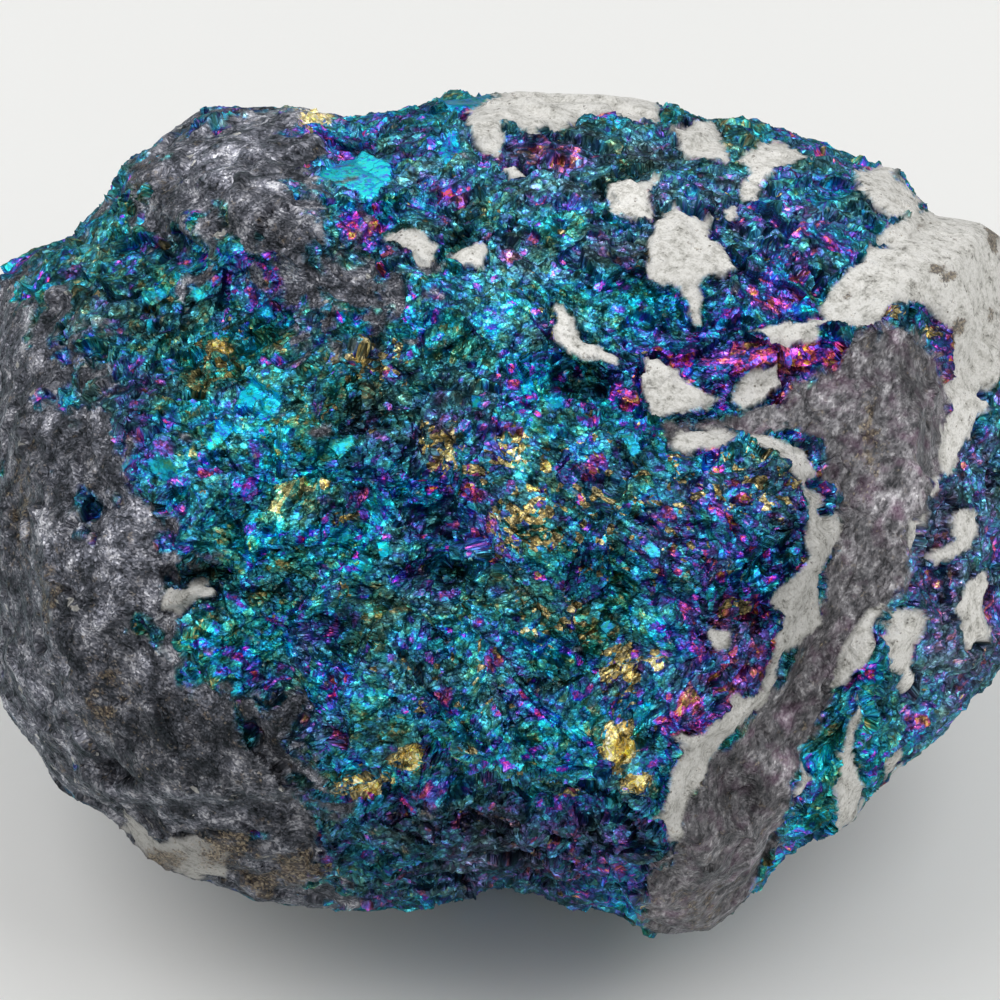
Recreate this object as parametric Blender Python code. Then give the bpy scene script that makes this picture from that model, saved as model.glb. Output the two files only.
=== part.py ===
"""Rough peacock ore specimen: one broken, faceted stone that rests on a small flat spot.

The stone is a closed pillow around its middle. Seen along the photograph's line of sight its edge follows
OUTLINE, and the surface that faces the eye carries the named bulges, hollows, ridges and ledges below. The
sides that the photograph doesn't show are cut by fracture planes. Crystalline facets break the whole skin.
"""

import itertools
import math

import bmesh
import bpy
import numpy as np

MM = 0.001
PIXEL = 0.06  # millimetres of stone under one pixel of the photograph
LOOK_DOWN = math.radians(40)  # how steeply the line of sight falls
SIGHT_LENGTH = 500.0  # millimetres from the eye to the stone's middle
MIDDLE_PIXEL = (500, 510)
MIDDLE = (-0.19, 1.78, 21.0)  # the middle in the object's frame, millimetres

HALF_DEPTH = 24.4  # along the line of sight, millimetres
LEAN = 0.25  # how far the lower edge comes forward for each millimetre down: the stone is wider than tall
BOXINESS = 2.35  # 2 is a ball, more is blockier
OUTLINE_REACH = 3.0  # how quickly the outline's corners fade away from the edge
OVAL = (1.12, 0.93)  # the outline far from the edge: half width and half height as shares of the mean radius
RELIEF_FADE = 0.35  # the relief is whole where a direction turns this far to the eye, and gone at the outline
HIDDEN_FADE = 0.3  # the fractures are whole where a direction turns this far from the eye
FACET_FADE = (-0.15, 0.45)  # the facets fade in from the outline to here, by the same measure
CUTS = 63  # on each edge of the starting cube
TRIANGLES_KEPT = 0.195  # share of the sculpted triangles left after the flat stretches are thinned

# The stone's edge against the background, anticlockwise from the right, in pixels of the photograph.
OUTLINE = [
    (1032, 450), (1028, 350), (1012, 270), (998, 238), (979, 225), (935, 217), (920, 199), (901, 174),
    (860, 160), (800, 138), (743, 121), (710, 121), (668, 107), (600, 97), (530, 97), (475, 95),
    (450, 96), (400, 114), (350, 120), (300, 108), (250, 109), (200, 113), (175, 127), (150, 148),
    (125, 163), (112, 190), (100, 206), (75, 236), (25, 254), (0, 275), (-20, 350), (-28, 450),
    (-24, 560), (-10, 640), (5, 709), (46, 760), (64, 787), (92, 804), (124, 830), (149, 856),
    (202, 881), (287, 902), (360, 907), (427, 907), (470, 890), (504, 885), (553, 896), (628, 911),
    (647, 931), (678, 936), (710, 931), (758, 887), (782, 850), (800, 842), (838, 831), (853, 819),
    (862, 799), (901, 765), (959, 712), (1000, 664), (1026, 570),
]

# Bulges and hollows of the face towards the eye: pixel, half width and half height in pixels, and rise in
# millimetres.
GREY_KNOB = ((243, 183), (80, 58), 3.2)
KNOB_SHOULDER = ((300, 215), (42, 34), 1.2)
TEAL_SLOPE = ((205, 335), (95, 60), -2.2)
LEFT_SHOULDER = ((105, 560), (85, 150), 2.6)
DOME = ((625, 560), (170, 150), 2.4)
DOME_FLANK = ((465, 540), (30, 80), -0.9)
LEFT_POCKET = ((265, 640), (85, 95), -1.0)
DARK_PIT = ((205, 575), (26, 12), -1.6)
DARK_RECESS = ((585, 385), (34, 20), -1.7)
DARK_HOLE = ((455, 570), (14, 14), -1.4)
PURPLE_RISE = ((790, 255), (95, 62), 1.3)
PALE_BOULDER = ((915, 262), (70, 55), 1.8)
TOP_RIDGE_LUMP = ((480, 125), (70, 30), 0.8)
SLAB_HOLLOW = ((800, 735), (55, 60), -1.2)
FOOT = ((695, 862), (55, 70), 2.4)
FOOT_TOE = ((655, 905), (24, 16), 0.9)
PALE_UNDERSIDE = ((200, 838), (60, 30), 1.0)
CREST_HOLLOW = ((560, 700), (80, 40), -0.6)
BULGES = [
    GREY_KNOB, KNOB_SHOULDER, TEAL_SLOPE, LEFT_SHOULDER, DOME, DOME_FLANK, LEFT_POCKET, DARK_PIT, DARK_RECESS,
    DARK_HOLE, PURPLE_RISE, PALE_BOULDER, TOP_RIDGE_LUMP, SLAB_HOLLOW, FOOT, FOOT_TOE, PALE_UNDERSIDE,
    CREST_HOLLOW,
]

# Ridges and valleys: path in pixels, half width in pixels, rise in millimetres.
KNOB_TRAIL = ([(300, 250), (335, 300), (410, 322), (500, 318)], 26, 1.1)
MAIN_VALLEY = ([(352, 262), (385, 335), (425, 450), (440, 560), (445, 660)], 30, -1.5)
GOLD_SHELF = ([(335, 372), (400, 352), (455, 430)], 30, 0.9)
RIGHT_CREST = ([(885, 322), (918, 400), (918, 500), (905, 590), (868, 680), (858, 760)], 22, 1.0)
VEIN_FACE = ([(850, 470), (862, 560), (815, 680), (735, 790)], 30, -0.9)
LEFT_END_CREST = ([(30, 430), (48, 540), (62, 640), (95, 730)], 22, 0.8)
RIDGES = [KNOB_TRAIL, MAIN_VALLEY, GOLD_SHELF, RIGHT_CREST, VEIN_FACE, LEFT_END_CREST]

# Ledges: path in pixels, fall in millimetres to its right as it runs, width of the fall and reach in pixels.
VEIN_LEDGE = (
    [(668, 836), (700, 742), (770, 690), (815, 590), (828, 520), (800, 462), (740, 436), (650, 425)], 1.9, 7, 90)
FRONT_LEDGE = (
    [(668, 836), (620, 796), (540, 776), (470, 772), (425, 744), (380, 768), (330, 802), (250, 800)], -3.4, 9, 110)
GREY_LEDGE = ([(330, 800), (240, 715), (172, 640), (190, 560), (160, 500), (118, 430)], -1.5, 8, 70)
SLAB_LEDGE = ([(690, 415), (745, 372), (830, 352), (890, 322)], 1.3, 7, 60)
SIDE_LEDGE = (
    [(855, 770), (880, 690), (915, 600), (928, 500), (930, 400), (975, 330), (985, 235)], 3.0, 12, 120)
KNOB_LEDGE = ([(352, 290), (300, 262), (245, 262), (190, 235), (140, 205)], -1.4, 9, 60)
LEDGES = [VEIN_LEDGE, FRONT_LEDGE, GREY_LEDGE, SLAB_LEDGE, SIDE_LEDGE, KNOB_LEDGE]

# Fracture planes of the hidden sides: direction that each faces, in degrees round from +X and up, and how far
# it lies from the middle in millimetres.
FRACTURES = [
    (78, 12, 25.0), (38, 22, 26.5), (128, 18, 26.0), (160, 40, 24.5), (95, 52, 21.5), (60, -28, 22.5),
    (118, -30, 22.0), (8, -32, 26.0), (178, -30, 25.5), (-35, -42, 22.0), (-118, -50, 20.5), (15, 8, 30.5),
]
FRACTURE_SOFTNESS = 0.9  # millimetres over which an edge between two fractures is worn round
FRACTURE_KEEP = 0.12  # share of the stone beyond a fracture that is left as a slight crown

# Facets of broken crystal: size of each in millimetres, its slope, and its step as a share of the size.
BLOCKS = dict(size=10.5, slope=0.15, step=0.09, seed=4)
FACETS = dict(size=4.6, slope=0.17, step=0.07, seed=11)
FACET_CRISPNESS = 14.0
FACET_BEND = 0.45  # how far the facets' edges wander, as a share of the size
FACET_WAVE = 2.3  # how many radians the wandering turns through in each cell
LATTICE = 24  # cells before the random numbers repeat

EYE_UP = np.array([0.0, math.sin(LOOK_DOWN), math.cos(LOOK_DOWN)])
EYE_BACK = np.array([0.0, -math.cos(LOOK_DOWN), math.sin(LOOK_DOWN)])
SIDE = np.array([1.0, 0.0, 0.0])


def smooth(low, high, value):
    """0 below low, 1 above high, and an eased slope between."""
    share = np.clip((value - low) / (high - low), 0.0, 1.0)
    return share * share * (3.0 - 2.0 * share)


def outline_radius(angle):
    """Distance in pixels from the middle to the outline, in each direction of the picture."""
    points = np.array(OUTLINE, float) - MIDDLE_PIXEL
    return np.interp(angle, np.arctan2(-points[:, 1], points[:, 0]), np.hypot(*points.T), period=2 * math.pi)


def beside(x, y, path):
    """Distance in pixels from each point to a path, and how far the point lies to the path's right."""
    gap = np.full(x.shape, np.inf)
    right = np.zeros(x.shape)
    for (ax, ay), (bx, by) in zip(path, path[1:]):
        dx, dy = bx - ax, by - ay
        length = math.hypot(dx, dy)
        along = np.clip(((x - ax) * dx + (y - ay) * dy) / length**2, 0.0, 1.0)
        here = np.hypot(x - ax - along * dx, y - ay - along * dy)
        across = (dx * (y - ay) - dy * (x - ax)) / length
        right = np.where(here < gap, across, right)
        gap = np.minimum(gap, here)
    return gap, right


def face_relief(x, y):
    """Rise towards the eye in millimetres at a pixel: all the named bulges, ridges and ledges added up."""
    rise = np.zeros(x.shape)
    for (px, py), (wide, high), height in BULGES:
        rise += height * np.exp(-(((x - px) / wide) ** 2) - ((y - py) / high) ** 2)
    for path, width, height in RIDGES:
        gap, _ = beside(x, y, path)
        rise += height * np.exp(-((gap / width) ** 2))
    for path, fall, width, reach in LEDGES:
        gap, right = beside(x, y, path)
        rise -= 0.5 * fall * np.tanh(right / width) * np.exp(-((gap / reach) ** 2))
    return rise


def pillow(directions):
    """The closed pillow: each unit direction becomes a point, in millimetres from the stone's middle.

    A direction is split into its part across the picture and its part along the line of sight, both are made
    blockier, the first is stretched to the outline and the second to the half depth. The nearer a point is to
    the eye the larger it looks, so its width is reduced by that share, and the outline stays as it is seen.
    """
    across = np.stack([directions @ SIDE, directions @ EYE_UP], axis=1)
    forward = directions @ EYE_BACK
    spread = np.hypot(*across.T)
    angle = np.arctan2(across[:, 1], across[:, 0])
    blocky = (spread**BOXINESS + np.abs(forward) ** BOXINESS) ** (1.0 / BOXINESS)
    mean_radius = np.hypot(*(np.array(OUTLINE, float) - MIDDLE_PIXEL).T).mean()
    edge = (spread / blocky) ** OUTLINE_REACH
    oval = 1.0 / np.hypot(np.cos(angle) / OVAL[0], np.sin(angle) / OVAL[1])
    radius = mean_radius * oval * (1.0 - edge) + outline_radius(angle) * edge
    x = MIDDLE_PIXEL[0] + radius * np.cos(angle) * spread / blocky
    y = MIDDLE_PIXEL[1] - radius * np.sin(angle) * spread / blocky
    right = (x - MIDDLE_PIXEL[0]) * PIXEL
    up = (MIDDLE_PIXEL[1] - y) * PIXEL
    depth = HALF_DEPTH * forward / blocky - LEAN * up
    depth += face_relief(x, y) * smooth(0.0, RELIEF_FADE, forward)
    nearness = 1.0 - depth / SIGHT_LENGTH
    return np.outer(right * nearness, SIDE) + np.outer(up * nearness, EYE_UP) + np.outer(depth, EYE_BACK)


def fractured(points, hidden):
    """Points beyond each fracture plane are drawn back almost onto it, by the share that each is hidden."""
    for turn, rise, distance in FRACTURES:
        turn, rise = math.radians(turn), math.radians(rise)
        facing = np.array([math.cos(turn) * math.cos(rise), math.sin(turn) * math.cos(rise), math.sin(rise)])
        beyond = FRACTURE_SOFTNESS * np.logaddexp(0.0, (points @ facing - distance) / FRACTURE_SOFTNESS)
        points = points - np.outer(beyond * (1.0 - FRACTURE_KEEP) * hidden, facing)
    return points


def facets(points, size, slope, step, seed):
    """Height of broken flat facets: each cell of a shaken lattice holds one tilted plane, the nearest of which
    wins."""
    chances = np.random.default_rng(seed).random((LATTICE, LATTICE, LATTICE, 7))
    wave = points[:, [1, 2, 0]] * FACET_WAVE / size + np.sin(points[:, [2, 0, 1]] / size)
    points = points + FACET_BEND * size * np.sin(wave)
    home = np.floor(points / size).astype(int)
    height = np.zeros(len(points))
    total = np.zeros(len(points))
    for offset in itertools.product((-1, 0, 1), repeat=3):
        cell = home + offset
        chance = chances[tuple((cell % LATTICE).T)]
        apart = points - (cell + chance[:, :3]) * size
        weight = np.exp(-FACET_CRISPNESS * (apart**2).sum(axis=1) / size**2)
        tilt = 2.0 * slope * (chance[:, 3:6] - 0.5)
        height += weight * ((apart * tilt).sum(axis=1) + step * size * (chance[:, 6] - 0.5))
        total += weight
    return height / total


def stone_points(directions):
    """Every point of the skin, in millimetres in the object's frame, flattened where the stone rests.

    The blocks break the hidden side only, and the facets fade towards the outline, which keeps its corners.
    """
    forward = directions @ EYE_BACK
    hidden = smooth(0.0, HIDDEN_FADE, -forward)
    points = fractured(pillow(directions), hidden)
    outward = points / np.linalg.norm(points, axis=1)[:, None]
    broken = hidden * facets(points, **BLOCKS)
    broken += smooth(*FACET_FADE, np.abs(forward)) * facets(points, **FACETS)
    points = points + outward * broken[:, None] + MIDDLE
    points[:, 2] = np.maximum(points[:, 2], 0.0)
    return points


def cube_ball():
    """A cube's grid of faces, spread evenly over a ball of radius 1."""
    bpy.ops.mesh.primitive_cube_add(size=2.0)
    stone = bpy.context.object
    mesh = bmesh.new()
    mesh.from_mesh(stone.data)
    bmesh.ops.subdivide_edges(mesh, edges=mesh.edges, cuts=CUTS, use_grid_fill=True)
    bmesh.ops.triangulate(mesh, faces=mesh.faces)
    mesh.to_mesh(stone.data)
    mesh.free()
    grid = np.empty(len(stone.data.vertices) * 3, np.float32)
    stone.data.vertices.foreach_get("co", grid)
    even = np.tan(grid.reshape(-1, 3).astype(float) * math.pi / 4)
    return stone, even / np.linalg.norm(even, axis=1)[:, None]


def tarnish():
    """Tarnished copper sulphide: dark teal, half metallic, with a dull shine."""
    material = bpy.data.materials.new("tarnished_sulphide")
    material.use_nodes = True
    shader = material.node_tree.nodes["Principled BSDF"]
    shader.inputs["Base Color"].default_value = (0.045, 0.11, 0.155, 1.0)
    shader.inputs["Metallic"].default_value = 0.6
    shader.inputs["Roughness"].default_value = 0.42
    return material


def build():
    for old in list(bpy.data.objects):
        bpy.data.objects.remove(old, do_unlink=True)
    collection = bpy.data.collections.new("peacock_ore_specimen")
    bpy.context.scene.collection.children.link(collection)
    stone, directions = cube_ball()
    stone.data.vertices.foreach_set("co", (stone_points(directions) * MM).astype(np.float32).ravel())
    stone.data.update()
    stone.name = "peacock_ore"
    stone.data.name = "peacock_ore"
    stone.data.materials.append(tarnish())
    thin = stone.modifiers.new("thin_flat_stretches", "DECIMATE")
    thin.ratio = TRIANGLES_KEPT
    for home in list(stone.users_collection):
        home.objects.unlink(stone)
    collection.objects.link(stone)


build()
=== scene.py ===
"""Looks of a rough peacock ore specimen: tarnished copper sulphide with lead-grey crust and pale calcite.

The skin is worked out from the same named forms as the solid, on a grid dense enough for its broken
crystal, and stands in for it. Calcite, grey crust and the brown cleaved slab lie where their outlines say, in
pixels of the photograph, and carry on over the hidden sides by slow random fields.
"""

import itertools
import math

import bpy
import numpy as np
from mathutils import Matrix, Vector


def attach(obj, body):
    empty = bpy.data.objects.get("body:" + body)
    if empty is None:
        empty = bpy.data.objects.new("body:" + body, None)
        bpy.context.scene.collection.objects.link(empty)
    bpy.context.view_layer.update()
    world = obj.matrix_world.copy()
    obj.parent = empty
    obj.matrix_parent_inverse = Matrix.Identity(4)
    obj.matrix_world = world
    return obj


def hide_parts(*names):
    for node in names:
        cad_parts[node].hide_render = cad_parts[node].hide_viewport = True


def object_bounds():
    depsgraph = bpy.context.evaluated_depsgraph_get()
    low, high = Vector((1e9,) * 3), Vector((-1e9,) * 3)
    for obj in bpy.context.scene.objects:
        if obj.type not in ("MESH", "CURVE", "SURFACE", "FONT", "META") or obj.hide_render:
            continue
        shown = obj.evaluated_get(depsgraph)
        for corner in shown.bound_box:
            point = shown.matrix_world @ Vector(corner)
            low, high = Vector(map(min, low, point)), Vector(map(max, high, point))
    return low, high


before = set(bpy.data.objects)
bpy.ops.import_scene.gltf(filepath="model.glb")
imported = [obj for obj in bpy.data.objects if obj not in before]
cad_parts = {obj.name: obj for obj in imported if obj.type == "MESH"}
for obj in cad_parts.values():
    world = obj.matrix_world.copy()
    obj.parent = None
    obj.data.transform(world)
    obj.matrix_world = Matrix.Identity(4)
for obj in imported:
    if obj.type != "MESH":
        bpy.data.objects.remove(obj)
cad_low, cad_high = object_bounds()

MM = 0.001
PICTURE_SIDE = 1000  # pixels along each side of the photograph
PIXEL = 0.06  # millimetres of stone under one pixel of the photograph
LOOK_DOWN = math.radians(40)  # how steeply the line of sight falls
SIGHT_LENGTH = 500.0  # millimetres from the eye to the stone's middle
MIDDLE_PIXEL = (500, 510)
MIDDLE = (-0.19, 1.78, 21.0)  # the middle in the object's frame, millimetres

HALF_DEPTH = 24.4  # along the line of sight, millimetres
LEAN = 0.25  # how far the lower edge comes forward for each millimetre down
BOXINESS = 2.35  # 2 is a ball, more is blockier
OUTLINE_REACH = 3.0  # how quickly the outline's corners fade away from the edge
OVAL = (1.12, 0.93)  # the outline far from the edge: half width and half height as shares of the mean radius
RELIEF_FADE = 0.35  # the relief is whole where a direction turns this far to the eye, and gone at the outline
HIDDEN_FADE = 0.3  # the fractures are whole where a direction turns this far from the eye
FACET_FADE = (-0.15, 0.45)  # the facets fade in from the outline to here, by the same measure

# The stone's edge against the background, anticlockwise from the right, in pixels of the photograph.
OUTLINE = [
    (1032, 450), (1028, 350), (1012, 270), (998, 238), (979, 225), (935, 217), (920, 199), (901, 174),
    (860, 160), (800, 138), (743, 121), (710, 121), (668, 107), (600, 97), (530, 97), (475, 95),
    (450, 96), (400, 114), (350, 120), (300, 108), (250, 109), (200, 113), (175, 127), (150, 148),
    (125, 163), (112, 190), (100, 206), (75, 236), (25, 254), (0, 275), (-20, 350), (-28, 450),
    (-24, 560), (-10, 640), (5, 709), (46, 760), (64, 787), (92, 804), (124, 830), (149, 856),
    (202, 881), (287, 902), (360, 907), (427, 907), (470, 890), (504, 885), (553, 896), (628, 911),
    (647, 931), (678, 936), (710, 931), (758, 887), (782, 850), (800, 842), (838, 831), (853, 819),
    (862, 799), (901, 765), (959, 712), (1000, 664), (1026, 570),
]

# Bulges and hollows of the face towards the eye: pixel, half width and half height in pixels, and rise in
# millimetres.
BULGES = {
    "grey knob": ((243, 183), (80, 58), 3.2),
    "knob shoulder": ((300, 215), (42, 34), 1.2),
    "teal slope": ((205, 335), (95, 60), -2.2),
    "left shoulder": ((105, 560), (85, 150), 2.6),
    "dome": ((625, 560), (170, 150), 2.4),
    "dome flank": ((465, 540), (30, 80), -0.9),
    "left pocket": ((265, 640), (85, 95), -1.0),
    "dark pit": ((205, 575), (26, 12), -1.6),
    "dark recess": ((585, 385), (34, 20), -1.7),
    "dark hole": ((455, 570), (14, 14), -1.4),
    "purple rise": ((790, 255), (95, 62), 1.3),
    "pale boulder": ((915, 262), (70, 55), 1.8),
    "top ridge lump": ((480, 125), (70, 30), 0.8),
    "slab hollow": ((800, 735), (55, 60), -1.2),
    "foot": ((695, 862), (55, 70), 2.4),
    "foot toe": ((655, 905), (24, 16), 0.9),
    "pale underside": ((200, 838), (60, 30), 1.0),
    "crest hollow": ((560, 700), (80, 40), -0.6),
}

# Ridges and valleys: path in pixels, half width in pixels, rise in millimetres.
RIDGES = {
    "knob trail": ([(300, 250), (335, 300), (410, 322), (500, 318)], 26, 1.1),
    "main valley": ([(352, 262), (385, 335), (425, 450), (440, 560), (445, 660)], 30, -1.5),
    "gold shelf": ([(335, 372), (400, 352), (455, 430)], 30, 0.9),
    "right crest": ([(885, 322), (918, 400), (918, 500), (905, 590), (868, 680), (858, 760)], 22, 1.0),
    "vein face": ([(850, 470), (862, 560), (815, 680), (735, 790)], 30, -0.9),
    "left end crest": ([(30, 430), (48, 540), (62, 640), (95, 730)], 22, 0.8),
}

# Ledges: path in pixels, fall in millimetres to its right as it runs, width of the fall and reach in pixels.
LEDGES = {
    "vein": ([(668, 836), (700, 742), (770, 690), (815, 590), (828, 520), (800, 462), (740, 436), (650, 425)],
             1.9, 7, 90),
    "front": ([(668, 836), (620, 796), (540, 776), (470, 772), (425, 744), (380, 768), (330, 802),
               (250, 800)], -3.4, 9, 110),
    "grey": ([(330, 800), (240, 715), (172, 640), (190, 560), (160, 500), (118, 430)], -1.5, 8, 70),
    "slab": ([(690, 415), (745, 372), (830, 352), (890, 322)], 1.3, 7, 60),
    "side": ([(855, 770), (880, 690), (915, 600), (928, 500), (930, 400), (975, 330), (985, 235)],
             3.0, 12, 120),
    "knob": ([(352, 290), (300, 262), (245, 262), (190, 235), (140, 205)], -1.4, 9, 60),
}

# Fracture planes of the hidden sides: direction that each faces, in degrees round from +X and up, and how far
# it lies from the middle in millimetres.
FRACTURES = [
    (78, 12, 25.0), (38, 22, 26.5), (128, 18, 26.0), (160, 40, 24.5), (95, 52, 21.5), (60, -28, 22.5),
    (118, -30, 22.0), (8, -32, 26.0), (178, -30, 25.5), (-35, -42, 22.0), (-118, -50, 20.5), (15, 8, 30.5),
]
FRACTURE_SOFTNESS = 0.9  # millimetres over which an edge between two fractures is worn round
FRACTURE_KEEP = 0.12  # share of the stone beyond a fracture that is left as a slight crown

# Facets of broken crystal: size of each in millimetres, its slope, and its step as a share of the size.
BLOCKS = dict(size=10.5, slope=0.15, step=0.09, seed=4)
FACETS = dict(size=4.6, slope=0.17, step=0.07, seed=11)
FACET_CRISPNESS = 14.0
FACET_BEND = 0.45  # how far the facets' edges wander, as a share of the size
FACET_WAVE = 2.3  # how many radians the wandering turns through in each cell
LATTICE = 24  # cells before the random numbers repeat

# Finer crystal that only the skin has, from chips to grit.
CHIPS = dict(size=2.3, slope=0.30, step=0.12, seed=21, crispness=40.0, bend=0.25)
GRAINS = dict(size=1.0, slope=0.27, step=0.13, seed=31, crispness=40.0, bend=0.15)
CRUMBS = dict(size=0.45, slope=0.36, step=0.15, seed=33, crispness=30.0, bend=0.1)
GRIT = 0.02  # millimetres that the finest grit stands up or down
SKIN_CELLS = 280  # along each edge of the cube that the skin's grid starts from
EYE_CROWDING = 0.42  # how strongly the grid's lines crowd towards the eye's side
SHAKE = 0.35  # how far a corner of the grid is shaken sideways, as a share of its cell
WALL_MARGIN = 0.02  # share of a piece's map that its hidden walls take round the edge
PIT_DEPTH = 0.45  # millimetres of the small pits, which the calcite and the cleavage faces don't have
CALCITE_PROUD = 0.12  # millimetres that the calcite stands above the ore
SKIN_SUNK = 0.06  # millimetres that the whole skin lies below the solid's form before its crystal is laid on

# Share of each fine form's height that is lost in the grey crust, the slab and the calcite. Below 0 it gains.
CHIPS_LOST = (0.4, 0.6, 0.7)
GRAINS_LOST = (0.55, 0.82, 0.85)
CRUMBS_LOST = (0.5, 0.75, 0.95)
GRIT_LOST = (-0.3, 0.0, 0.5)

# The lines that fine crystal is drawn out along: degrees up from the right in the picture, and the squeeze.
ORE_LIES = [(55, 0.7), (-30, 0.7), (12, 0.75)]  # a block of ore takes one of these by its own chance
LIE_BOUNDS = (0.36, 0.62)  # chances at which a block goes from one lie to the next
CRUST_LIE = (-25, 0.75)
SLAB_LIE = (68, 0.62)
CALCITE_FRINGE = 0.3  # millimetres round the calcite where nothing is drawn out

# Sizes of the patterns in the finish, in millimetres.
GRIT_SIZE = 0.11
GRAIN_SIZE = 0.35
FIBRE_SIZE = 0.45
CLOUD_SIZE = 1.3
SAND_SIZE = 0.9
GRIT_TILT = 0.26  # how far a grain of grit leans in the bare ore, as a share of its normal
ORE_METAL = 0.9
ORE_ROUGHNESS = 0.36
COVER_FINISHES = {"grey": (0.55, 0.42), "slab": (0.35, 0.48), "calcite": (0.0, 0.85)}  # metallic, roughness

# Patches of the photograph are whole where the eye sees them, and gone where a direction turns this far away.
PATCH_FADE = -0.3
GOLD_FADE = -0.12  # gold ends sooner, because a thin bright line down the back would be noticed
FAR_OUTSIDE = 60.0  # pixels outside an outline past which its distance isn't worked out

LAMP_DISTANCE = 0.8  # metres from the stone's middle to each soft box
FLOOR_HALF = 900  # millimetres from the floor's middle to its edge

EYE_UP = np.array([0.0, math.sin(LOOK_DOWN), math.cos(LOOK_DOWN)])
EYE_BACK = np.array([0.0, -math.cos(LOOK_DOWN), math.sin(LOOK_DOWN)])
SIDE = np.array([1.0, 0.0, 0.0])

# Outlines of the calcite on the face towards the eye, in pixels of the photograph.
CALCITE = {
    "left flake": [(378, 232), (392, 225), (412, 229), (438, 245), (429, 264), (415, 261), (396, 241)],
    "middle flake": [(447, 257), (461, 249), (485, 248), (484, 267), (461, 267)],
    "top ridge": [(465, 110), (493, 98), (530, 90), (600, 85), (658, 95), (658, 124), (600, 116),
                  (570, 120), (548, 128), (530, 137), (520, 123), (502, 126), (500, 153), (485, 146),
                  (470, 137)],
    "ridge crumb": [(504, 163), (514, 160), (523, 172), (512, 173)],
    "hook": [(608, 181), (635, 179), (658, 179), (649, 189), (649, 204), (655, 218), (635, 215), (608, 211),
             (614, 198)],
    "star": [(656, 216), (676, 206), (694, 213), (710, 221), (712, 233), (728, 248), (741, 267), (722, 274),
             (700, 281), (702, 300), (702, 322), (695, 322), (686, 302), (678, 288), (649, 279),
             (648, 245)],
    "squiggle": [(552, 303), (564, 303), (573, 314), (573, 328), (584, 337), (598, 342), (619, 355),
                 (619, 367), (600, 358), (585, 360), (566, 351), (556, 338)],
    "crest": [(668, 124), (690, 124), (712, 126), (722, 140), (731, 160), (705, 157), (684, 150),
              (676, 138)],
    "bird": [(734, 160), (752, 150), (765, 138), (785, 143), (809, 155), (809, 162), (790, 162), (775, 170),
             (765, 182), (756, 199), (744, 196), (744, 184), (751, 165)],
    "crest crumb": [(724, 211), (736, 204), (736, 218), (727, 220)],
    "shoulder": [(855, 170), (887, 170), (901, 182), (920, 201), (918, 218), (894, 218), (880, 208),
                 (868, 199), (862, 184)],
    "boulder": [(894, 221), (936, 208), (979, 215), (1010, 235), (1040, 260), (1040, 372), (1000, 372),
                (985, 400), (968, 432), (960, 460), (947, 473), (930, 494), (925, 490), (938, 470),
                (942, 445), (942, 393), (954, 366), (954, 332), (938, 312), (923, 305), (894, 300),
                (884, 312), (879, 322), (819, 322), (816, 339), (790, 343), (770, 342), (748, 332),
                (780, 322), (824, 317), (831, 288), (846, 272), (862, 259), (868, 247), (895, 246),
                (885, 236)],
    "triangle": [(647, 354), (661, 351), (672, 362), (683, 376), (700, 386), (719, 397), (712, 405),
                 (680, 412), (652, 419), (645, 400), (637, 378)],
    "tooth": [(739, 380), (755, 370), (775, 366), (777, 385), (768, 398), (756, 405), (742, 408),
              (731, 400)],
    "lens": [(678, 431), (700, 428), (727, 429), (734, 436), (715, 444), (693, 451), (673, 446)],
    "vein top": [(748, 439), (765, 431), (780, 438), (790, 446), (804, 451), (812, 462), (819, 475),
                 (809, 480), (799, 475), (787, 463), (765, 450)],
    "vein": [(808, 483), (818, 500), (822, 514), (840, 514), (840, 530), (836, 545), (828, 556), (821, 567),
             (819, 594), (823, 625), (807, 637), (795, 646), (785, 652), (777, 674), (765, 703), (741, 722),
             (724, 745), (712, 760), (705, 775), (692, 795), (685, 814), (681, 836), (668, 836), (661, 819),
             (664, 794), (676, 770), (690, 751), (673, 736), (700, 730), (722, 715), (741, 696), (765, 691),
             (770, 675), (775, 662), (773, 635), (785, 618), (765, 601), (782, 585), (799, 567), (811, 545),
             (814, 519), (806, 495)],
    "vein crumb": [(700, 620), (717, 625), (731, 628), (727, 645), (718, 650), (710, 645), (708, 634)],
    "slab thread": [(874, 613), (886, 608), (880, 630), (872, 654), (858, 672), (845, 686), (826, 688),
                    (838, 667), (850, 650), (862, 633)],
    "side tooth": [(894, 613), (908, 608), (923, 616), (918, 630), (913, 642), (911, 667), (920, 679),
                   (918, 690), (911, 698), (903, 688), (903, 674), (887, 667), (890, 650), (894, 635)],
    "side crumb": [(913, 521), (920, 516), (920, 536), (914, 548), (911, 545)],
    "side patch": [(947, 509), (969, 509), (975, 525), (969, 545), (953, 556), (937, 565), (933, 555),
                   (945, 540)],
    "end patch": [(960, 585), (983, 570), (996, 584), (983, 606), (986, 633), (969, 652), (962, 638),
                  (962, 618), (952, 608)],
    "low thread": [(857, 693), (853, 727), (857, 765), (862, 799), (853, 819), (838, 831), (834, 812),
                   (836, 790), (843, 751), (846, 720)],
    "rim": [(797, 840), (812, 833), (833, 831), (820, 838)],
    "low lens": [(790, 802), (800, 785), (811, 770), (814, 780), (804, 792)],
    "low crumb": [(884, 758), (899, 751), (900, 762), (896, 770), (882, 778)],
    "underside": [(126, 814), (147, 824), (161, 842), (180, 838), (197, 835), (215, 842), (230, 853),
                  (225, 876), (197, 881), (170, 865), (147, 853), (124, 830)],
    "pit rim": [(167, 586), (173, 582), (186, 588), (208, 577), (215, 590), (213, 597), (195, 599),
                (183, 606), (173, 614), (160, 610)],
}
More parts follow.
